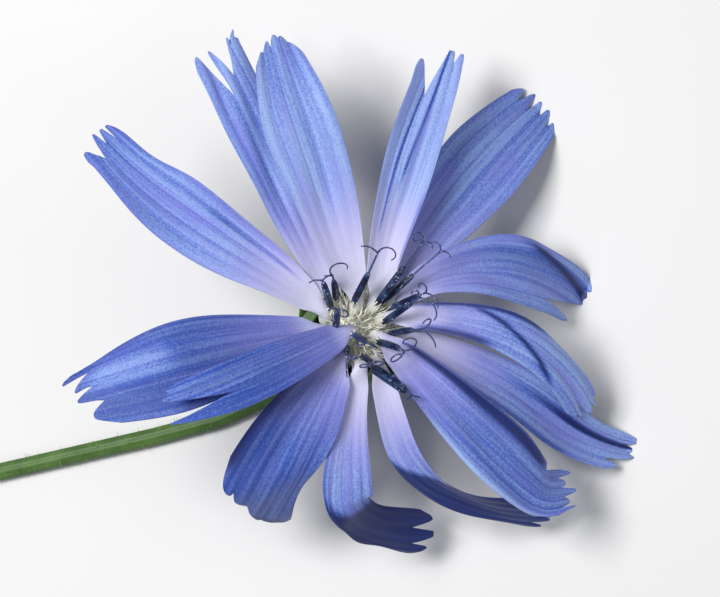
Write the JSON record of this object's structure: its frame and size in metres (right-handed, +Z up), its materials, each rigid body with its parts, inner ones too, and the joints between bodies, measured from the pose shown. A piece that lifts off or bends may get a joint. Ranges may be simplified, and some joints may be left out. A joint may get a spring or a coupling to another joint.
{
  "type": "chicory flower",
  "caption": "Blue chicory flower, picked and lying on a surface: long toothed straps round dark blue anthers, a green cup and a short cut stem.",
  "frame": {"origin": "middle of the box round the whole flower, at the surface that it lies on", "axes": "+Z up from the surface; +X from the stem's cut end towards the open head, along the flower's longest side; +Y across"},
  "size_m": [0.0523, 0.042, 0.0227],
  "materials": {
    "petal": "soft, silky matt",
    "anther": "velvety matt",
    "green": "waxy matt"
  },
  "bodies": {
    "root": {"stem_and_involucre": "green", "corolla_01": "petal", "corolla_02": "petal", "corolla_03": "petal", "corolla_04": "petal", "corolla_05": "petal", "corolla_06": "petal", "corolla_07": "petal", "corolla_08": "petal", "corolla_09": "petal", "corolla_10": "petal", "corolla_11": "petal", "corolla_12": "petal", "corolla_13": "petal", "corolla_14": "petal", "anthers_01": "anther", "anthers_02": "anther", "anthers_03": "anther", "anthers_04": "anther", "anthers_05": "anther", "anthers_06": "anther", "anthers_07": "anther", "anthers_08": "anther", "anthers_09": "anther", "anthers_10": "anther", "anthers_11": "anther", "anthers_12": "anther", "anthers_13": "anther", "anthers_14": "anther"}
  },
  "joints": []
}
